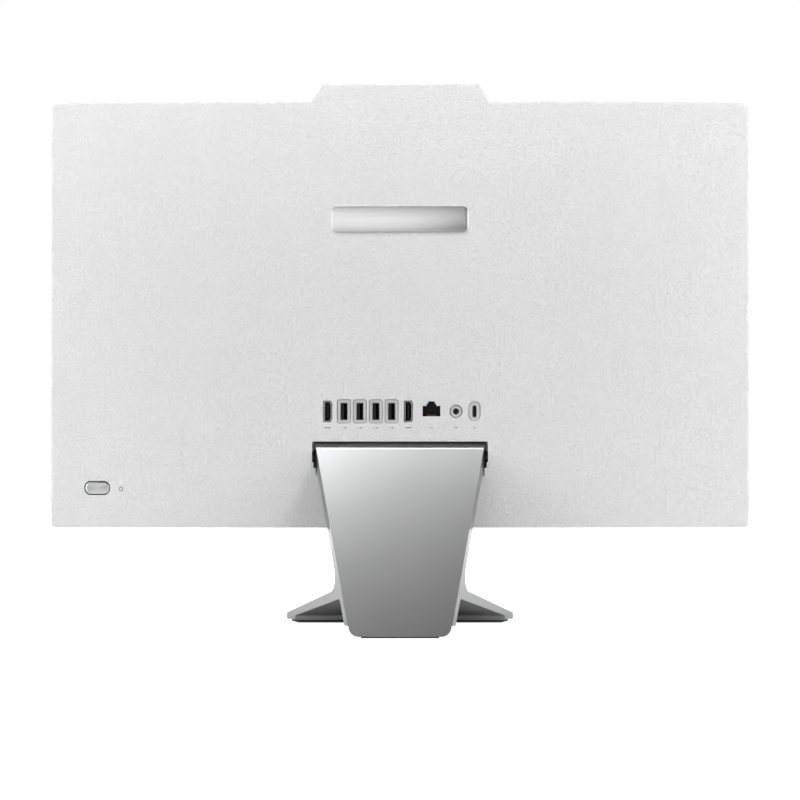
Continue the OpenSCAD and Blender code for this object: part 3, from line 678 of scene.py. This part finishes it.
def column_places(inset):
    """X of the grid's columns, closer together at the bump's corners and the sides."""
    top, foot = bump_halves(inset)
    half, r = HALF_W - inset, TOP_R - inset
    quarter = math.pi / 2
    near = [top - CORNER_SPREAD * step for step in reversed(EDGE_STEPS)]
    places = [near[0] * i / BUMP_COLUMNS for i in range(BUMP_COLUMNS)] + near
    places += [top + (foot - top) * i / SLOPE_COLUMNS for i in range(1, SLOPE_COLUMNS)]
    places += [foot + (half - r - foot) * i / SIDE_COLUMNS for i in range(SIDE_COLUMNS + 1)]
    turns = [quarter * i / CORNER_COLUMNS for i in range(1, CORNER_COLUMNS + 1)]
    places += [half - r + r * math.sin(turn) for turn in turns]
    return [-x for x in reversed(places[1:])] + places


def row_places(x, inset):
    """Z of the grid's rows in the column at x, closer together at both ends."""
    low, high = foot_edge(x, inset), top_edge(x, inset)
    top, foot = bump_halves(inset)
    spread = SLOPE_SPREAD if top < abs(x) < foot else 1.0
    start, end = low + EDGE_STEPS[-1], high - spread * EDGE_STEPS[-1]
    places = [low + step for step in EDGE_STEPS[:-1]]
    places += [start + (end - start) * i / ROWS for i in range(ROWS + 1)]
    return places + [high - spread * step for step in reversed(EDGE_STEPS[:-1])]


def cover_grid(inset):
    """Points of the rear face, row by row. The outer face is rounded along its outline."""
    columns = []
    for x in column_places(inset):
        column = []
        for z in row_places(x, inset):
            y = crown_y(x, z, inset)
            d = max(edge_distance(x, z), 0)
            if not inset and d < EDGE_R:
                y -= EDGE_R - math.sqrt(EDGE_R**2 - (EDGE_R - d) ** 2)
            column.append(Vector((x, y, z)))
        columns.append(column)
    return [list(row) for row in zip(*columns)]


def border_of(grid):
    """The grid's outer points in order round the outline."""
    foot, top = grid[0], grid[-1]
    right = [row[-1] for row in grid[1:-1]]
    left = [row[0] for row in grid[1:-1]]
    return foot + right + list(reversed(top)) + list(reversed(left))


def cover_shell():
    """The rear cover as a closed shell: outer face, walls, rim and inner face."""
    bm = bmesh.new()
    borders = []
    for inset in (0.0, COVER_T):
        grid = [[bm.verts.new(p) for p in row] for row in cover_grid(inset)]
        for low, high in zip(grid, grid[1:]):
            for i in range(len(low) - 1):
                bm.faces.new((low[i], low[i + 1], high[i + 1], high[i]))
        borders.append(border_of(grid))
    outer, inner = borders
    middle_z = (HEAD_Z0 + HEAD_TOP_Z) / 2

    def ring(border, y, shrink):
        made = []
        for v in border:
            side = math.copysign(shrink, v.co.x) if abs(v.co.x) > HALF_W - TOP_R else 0
            up = math.copysign(shrink, v.co.z - middle_z)
            made.append(bm.verts.new((v.co.x - side, y, v.co.z - up)))
        return made

    rings = [
        outer,
        ring(outer, SPLIT_Y + RIM_CHAMFER, 0),
        ring(outer, SPLIT_Y, RIM_CHAMFER),
        ring(inner, SPLIT_Y, 0),
        inner,
    ]
    for a, b in zip(rings, rings[1:]):
        bridge(bm, a, b)
    return finished(bm, "rear_shell", 40)


def across(outline, half):
    """A solid with a Y-Z outline from -half to half in X."""
    bm = bmesh.new()
    loft(bm, [[Vector((x, y, z)) for y, z in outline] for x in (-half, half)])
    return bm


def pocket_outline(grow, rear):
    """Y-Z outline of the hinge pocket, grown by a wall."""
    r, foot = POCKET_R + grow, POCKET_FOOT + grow
    reach = min(rear - HINGE.y, math.sqrt(r * r - foot * foot))
    start = -math.degrees(math.acos(reach / r))
    points = [(rear, HINGE.z + r), (rear, HINGE.z - foot)]
    return points + arc(HINGE.y, HINGE.z, r, start, -270, 40)


def slot_outline(grow, rear):
    """Y-Z outline of the narrow slots beside the knuckle, grown by a wall."""
    low, high, deep = HINGE.z - SLOT_FOOT - grow, HINGE.z + POCKET_R, HINGE.y - grow
    return [(rear, high), (rear, low), (deep, low), (deep, high)]


def ramp_outline(grow, rear):
    """Y-Z outline of the ramp below the pocket, where the leg goes as the head tips."""
    y, end = HINGE.y - grow, min(rear, REAR_Y)
    low, foot = HINGE.z - RAMP_TOP - grow, HINGE.z - RAMP_FOOT - RAMP_WALL_SHARE * grow
    end_z = low + (foot - low) * (end - y) / (REAR_Y - y)
    beyond = [(rear, end_z)] if rear > end else []
    return [(y, HINGE.z), (y, low), (end, end_z), *beyond, (rear, HINGE.z)]


def port_cutters(bm):
    """The openings of the port row, each with a rounded lip."""
    levels = lip(REAR_Y - COVER_T - MM, REAR_Y, LIP_R)

    def hole(x, outline, size, z=PORT_Z):
        place = Matrix.Translation((x, 0, z))
        loft(bm, sections(lambda grow: outline(size + grow), levels, place))

    for name in HDMI_PORTS:
        hole(middle(name).x, hdmi_outline, HDMI_GAP)
    for name in USB_PORTS:
        hole(middle(name).x, grown_rect(USB_FRAME), PORT_GAP)
    hole(middle("usb_c_port").x, grown_rect(USB_C_FRAME), PORT_GAP)
    hole(middle("lan_port").x, lan_outline, 0, LAN_Z)
    hole(middle("dc_inlet").x, disc, DC_HOLE_R)


def side_cutters(bm):
    """The openings for the power button and its light."""
    w, h, r = BUTTON_SIZE
    gap = BUTTON_GAP
    outline = grown_rect((w + 2 * gap, h + 2 * gap, r + gap), 16)
    levels = lip(-SIDE_HOLE_DEPTH, 0, BUTTON_LIP_R)
    loft(bm, sections(outline, levels, on_side_curve(*BUTTON_AT)))
    levels = lip(-SIDE_HOLE_DEPTH, 0, LIGHT_LIP_R)
    light = sections(lambda grow: disc(LIGHT_HOLE_R + grow, 32), levels, on_side_curve(*LIGHT_AT))
    loft(bm, light)


def badge_cutter(bm):
    """The shallow seat of the badge."""
    levels = [(-BADGE_SINK, BADGE_GAP), (CUT_PAST, BADGE_GAP)]
    loft(bm, sections(grown_rect(BADGE_SIZE), levels, on_crown(BADGE_Z)))


def upright(bm, outline, x, y, z0, z1):
    """A solid with an X-Y outline from z0 to z1."""
    loft(bm, [[Vector((x + px, y + py, z)) for px, py in outline] for z in (z0, z1)])


def vent_cutters(bm):
    """Slots through the upper and lower edges, and the round holes in the lower edge."""
    slot = round_rect(*VENT_SIZE, 5)

    def vent(x, y, z):
        upright(bm, slot, x, y, z - VENT_DEPTH, z + VENT_DEPTH)

    for z, y, first, count in SIDE_VENTS:
        for i in range(count):
            for side in (-1, 1):
                vent(side * (first + i * VENT_PITCH), y, z)
    for i in range(-MIDDLE_VENTS_EACH_WAY, MIDDLE_VENTS_EACH_WAY + 1):
        vent(i * VENT_PITCH, MIDDLE_VENTS_Y, HEAD_Z0)
    upright(bm, disc(AUDIO_R), *AUDIO_AT, HEAD_Z0 - MM, HEAD_Z0 + AUDIO_DEPTH)
    for x in SCREW_X:
        rings = []
        for r, z in SCREW_RECESS:
            rings.append([Vector((x + a, SCREW_Y + b, HEAD_Z0 + z * MM)) for a, b in disc(r * MM)])
        loft(bm, rings)


def rear_shell():
    """The cover with its hinge pocket, ports, button hole, badge seat, vents and screw recesses."""
    shell = cover_shell()
    inside_wall = REAR_Y - 0.5 * MM
    beyond = REAR_Y + CUT_PAST
    lined = [(pocket_outline, POCKET_HALF), (slot_outline, POCKET_HALF), (ramp_outline, RAMP_HALF)]
    for outline, half in lined:
        cut(shell, across(outline(POCKET_WALL, inside_wall), half + POCKET_WALL), "UNION")
    opened = [(pocket_outline, KNUCKLE_HALF + KNUCKLE_GAP), *lined[1:]]
    for outline, half in opened:
        cut(shell, across(outline(0, beyond), half))
    holes = bmesh.new()
    port_cutters(holes)
    side_cutters(holes)
    badge_cutter(holes)
    vent_cutters(holes)
    shaft = [(HINGE.y + a, HINGE.z + b) for a, b in disc(SHAFT_HOLE_R)]
    ends = (-SHAFT_HOLE_HALF, SHAFT_HOLE_HALF)
    loft(holes, [[Vector((x, y, z)) for y, z in shaft] for x in ends])
    cut(shell, holes)
    smooth(shell)
    return shell


# ---------- CAD nodes that keep their shape ----------


# Corners nearer than the first are joined, faces flatter than the second are merged,
# and edges sharper than the third are rounded
JOINED = 0.002 * MM
MERGED = math.radians(1)
ROUNDED = math.radians(32)
FACE_WEIGHT = 100

# Edge radius, steps across it, CAD nodes
SOFT_EDGES = [
    (0.6 * MM, 3, ["stand_casting"]),
    (0.5 * MM, 2, ["front_bezel"]),
    (0.3 * MM, 2, ["rear_foot_pad", "front_foot_pad"]),
    (0.12 * MM, 2, ["port_surround", *HDMI_PORTS, "usb_c_port", "lan_port", "dc_inlet"]),
    (0.1 * MM, 2, USB_PORTS),
]


def soften(name, width, segments):
    """Rounds a CAD node's edges with modifiers. Its own mesh stays as it is."""
    obj = frame["nodes"][name]
    weld = obj.modifiers.new("weld", "WELD")
    weld.merge_threshold = JOINED
    flat = obj.modifiers.new("flat", "DECIMATE")
    flat.decimate_type = "DISSOLVE"
    flat.angle_limit = MERGED
    edges = obj.modifiers.new("edges", "BEVEL")
    edges.width = width
    edges.segments = segments
    edges.limit_method = "ANGLE"
    edges.angle_limit = ROUNDED
    edges.miter_outer = "MITER_ARC"
    normals = obj.modifiers.new("normals", "WEIGHTED_NORMAL")
    normals.keep_sharp = True
    normals.weight = FACE_WEIGHT


# ---------- the small pieces on the rear face ----------

# Profiles: how far in from the outline and how far above the rear face, in mm
BUTTON_PROFILE = [(0, -3.4), (0, -0.5), (0.1, -0.3), (0.75, -0.06), (0.9, -0.02), (0.98, -0.05)]
# Painted shade: a thin black sleeve in the button's gap stands in for the shade there
SHADE_SLEEVE_PROFILE = [(-0.78, -3.1), (-0.78, -0.25), (-0.6, -0.25), (-0.6, -3.1)]
BADGE_PROFILE = [(0, -1.2), (0, 0.22), (0.12, 0.38), (0.34, 0.47), (0.6, 0.5)]

# The fine rings of the button's face, with every second one a little lower
BUTTON_RINGS = 44
RING_Y = 0.02 * MM
RING_DROP = 0.012 * MM

# The lens's shaft and dome: radii and heights above the rear face, in mm, and the angles
# of the dome's rings
LENS_SHAFT = [(1.25, -4.5), (1.25, -0.2)]
DOME_R = 1.2
DOME_Y = -0.15
DOME_H = 0.2
DOME_TURNS = [0.15 * i for i in range(1, 10)]

# The marks below the ports: offset from the port's middle, width and height, in mm
MARKS_Z = PORT_Z - 12.5 * MM
MARK_SINK = 0.1 * MM
MARK_RISE = 0.02 * MM
MARKS = {name: [(0, 5, 0.9)] for name in HDMI_PORTS}
MARKS |= {name: [(-0.9, 2.4, 0.8), (1.5, 0.8, 0.8)] for name in USB_PORTS}
MARKS["lan_port"] = [(-1.2, 0.8, 0.8), (0, 0.8, 0.8), (1.2, 0.8, 0.8)]
MARKS["dc_inlet"] = [(0, 3, 0.8)]
MARKS["usb_c_port"] = [(0, 1.8, 0.8)]


def button_cap():
    """The power button: a chamfered metal cap whose face is turned in fine rings."""
    place = on_side_curve(*BUTTON_AT)
    bm = bmesh.new()
    made = loft(bm, stepped(BUTTON_SIZE, BUTTON_PROFILE, place, 16), close=False)
    bm.faces.new(list(reversed(made[0])))
    inner = [place.inverted() @ v.co for v in made[-1]]
    previous = made[-1]
    for k in range(1, BUTTON_RINGS):
        share = 1 - k / BUTTON_RINGS
        y = RING_Y - RING_DROP * (k % 2)
        points = [place @ Vector((p.x * share, y, p.z * share)) for p in inner]
        current = [bm.verts.new(p) for p in points]
        bridge(bm, previous, current)
        previous = current
    bm.faces.new(previous)
    return finished(bm, "power_button_cap", 60)


def button_shade_sleeve():
    """The dark sleeve that lines the gap round the power button, painted shade standing in for the gap's shade."""
    bm = bmesh.new()
    rings = stepped(BUTTON_SIZE, SHADE_SLEEVE_PROFILE, on_side_curve(*BUTTON_AT), 16)
    made = loft(bm, rings, close=False)
    bridge(bm, made[-1], made[0])
    return finished(bm, "power_button_shade_sleeve", 30)


def light_lens():
    """The power light's lens: a low dome with a thin step round it."""
    bm = bmesh.new()
    dome = [(DOME_R * math.cos(a), DOME_Y + DOME_H * math.sin(a)) for a in DOME_TURNS]
    levels = [(y * MM, r * MM) for r, y in LENS_SHAFT + dome]
    loft(bm, sections(lambda r: disc(r, 40), levels, on_side_curve(*LIGHT_AT)))
    return finished(bm, "power_light_lens", 30)


def port_marks():
    """Plain raised marks below the ports: bars and dots in place of symbols and words."""
    bm = bmesh.new()
    for name, bars in MARKS.items():
        for offset, w, h in bars:
            place = Matrix.Translation((middle(name).x + offset * MM, 0, MARKS_Z))
            size = (w * MM, h * MM, (h / 2 - 0.01) * MM)
            levels = [(REAR_Y - MARK_SINK, 0), (REAR_Y + MARK_RISE, 0)]
            loft(bm, sections(grown_rect(size, 4), levels, place))
    return finished(bm, "port_marks", 30)


def badge():
    """A blank polished plate with a chamfer, where a name would be."""
    bm = bmesh.new()
    loft(bm, stepped(BADGE_SIZE, BADGE_PROFILE, on_crown(BADGE_Z), 12))
    return finished(bm, "blank_badge", 60)


def add_piece(obj, body, slot, *nodes):
    """Puts a made piece on its body with its slot's material, in place of those CAD nodes."""
    obj.data.materials.clear()
    obj.data.materials.append(materials[slot])
    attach(obj, body)
    if nodes:
        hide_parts(*nodes)


# ---------- stage and light ----------

WORLD_LIGHT = 0.02
FLOOR_GLOW = 1.0
FLOOR_HALF = 3.0

# Soft boxes: name, place, width and height of the box, power in watts
SOFT_BOXES = [
    ("wide_left", (1.7, 1.7, 0.7), (0.8, 1.0), 4.2),
    ("wide_right", (-1.7, 1.7, 0.7), (0.8, 1.0), 15),
    ("far_left", (2.1, 0.8, 0.6), (0.8, 1.0), 8),
    ("far_right", (-2.1, 0.8, 0.6), (0.8, 1.0), 2.8),
    ("side_left", (0.9, 0.28, 0.3), (0.15, 0.8), 3.15),
    ("side_right", (-0.9, 0.28, 0.3), (0.15, 0.8), 3.1),
    ("over_head", (0, 0.12, 0.95), (0.9, 0.12), 2.6),
    ("over_left", (0.25, 0.2, 1.2), (0.3, 0.2), 2.25),
    ("front_left", (1.6, -2.4, 0.35), (1.0, 0.8), 14),
    ("front_right", (-1.6, -2.4, 0.35), (1.0, 0.8), 14),
    ("front_card", (0, -2.2, 1.6), (2.6, 1.6), 26),
    ("badge_card", (0.3, 3.2, 0.8), (1.2, 0.5), 3.0),
    ("button_card", (1.0, 3.1, 0.3), (0.5, 0.6), 1.6),
]
LOOK_AT = Vector((0, 0, 0.24))


def add_world():
    """A white background that adds only a little light of its own."""
    world = bpy.data.worlds.new("world")
    world.use_nodes = True
    bpy.context.scene.world = world
    nodes, links = world.node_tree.nodes, world.node_tree.links
    seen = nodes["Background"]
    seen.inputs["Color"].default_value = (1, 1, 1, 1)
    seen.inputs["Strength"].default_value = 1.0
    lit = nodes.new("ShaderNodeBackground")
    lit.inputs["Color"].default_value = (1, 1, 1, 1)
    lit.inputs["Strength"].default_value = WORLD_LIGHT
    path = nodes.new("ShaderNodeLightPath")
    mix = nodes.new("ShaderNodeMixShader")
    links.new(path.outputs["Is Camera Ray"], mix.inputs[0])
    links.new(lit.outputs[0], mix.inputs[1])
    links.new(seen.outputs[0], mix.inputs[2])
    links.new(mix.outputs[0], nodes["World Output"].inputs["Surface"])


def add_floor():
    """A plain pale floor, bright enough to meet the white background without a line."""
    bm = bmesh.new()
    low, high = -FLOOR_HALF, FLOOR_HALF
    corners = [(low, low, 0), (high, low, 0), (high, high, 0), (low, high, 0)]
    bm.faces.new([bm.verts.new(p) for p in corners])
    floor = finished(bm, "floor")
    mat = new_material("floor", (0.85, 0.85, 0.85), 0.9, Specular_IOR_Level=0.0)
    tree = mat.node_tree
    glow = tree.nodes.new("ShaderNodeEmission")
    glow.inputs["Strength"].default_value = FLOOR_GLOW
    path = tree.nodes.new("ShaderNodeLightPath")
    add = tree.nodes.new("ShaderNodeAddShader")
    mix = tree.nodes.new("ShaderNodeMixShader")
    tree.links.new(shader_of(mat).outputs[0], add.inputs[0])
    tree.links.new(glow.outputs[0], add.inputs[1])
    tree.links.new(path.outputs["Is Camera Ray"], mix.inputs[0])
    tree.links.new(shader_of(mat).outputs[0], mix.inputs[1])
    tree.links.new(add.outputs[0], mix.inputs[2])
    tree.links.new(mix.outputs[0], tree.nodes["Material Output"].inputs["Surface"])
    floor.data.materials.append(mat)


def add_lights():
    for name, place, size, power in SOFT_BOXES:
        data = bpy.data.lights.new(name, "AREA")
        data.shape = "RECTANGLE"
        data.size, data.size_y = size
        data.energy = power
        light = bpy.data.objects.new(name, data)
        light.location = place
        light.rotation_euler = (LOOK_AT - Vector(place)).to_track_quat("-Z", "Y").to_euler()
        light.visible_camera = False
        bpy.context.scene.collection.objects.link(light)


# ---------- build ----------

add_camera()
bpy.context.scene.view_settings.view_transform = "Standard"
add_world()
add_floor()
add_lights()

materials = make_materials()
for entry in frame["record"]["subparts"]:
    part = frame["nodes"][entry["node"]]
    part.data.materials.clear()
    part.data.materials.append(materials[entry["material_slot"]])

add_piece(rear_shell(), "head", "white_plastic", "rear_cover")
add_piece(button_cap(), "power_button", "button_metal", "power_button")
# Painted shade: the black sleeve in the power button's gap
add_piece(button_shade_sleeve(), "head", "black_plastic")
add_piece(light_lens(), "head", "sheet_plastic", "power_light_pipe")
add_piece(badge(), "head", "polished_metal", "badge_plate")
add_piece(port_marks(), "head", "grey_plastic")

for radius, steps, names in SOFT_EDGES:
    for name in names:
        soften(name, radius, steps)
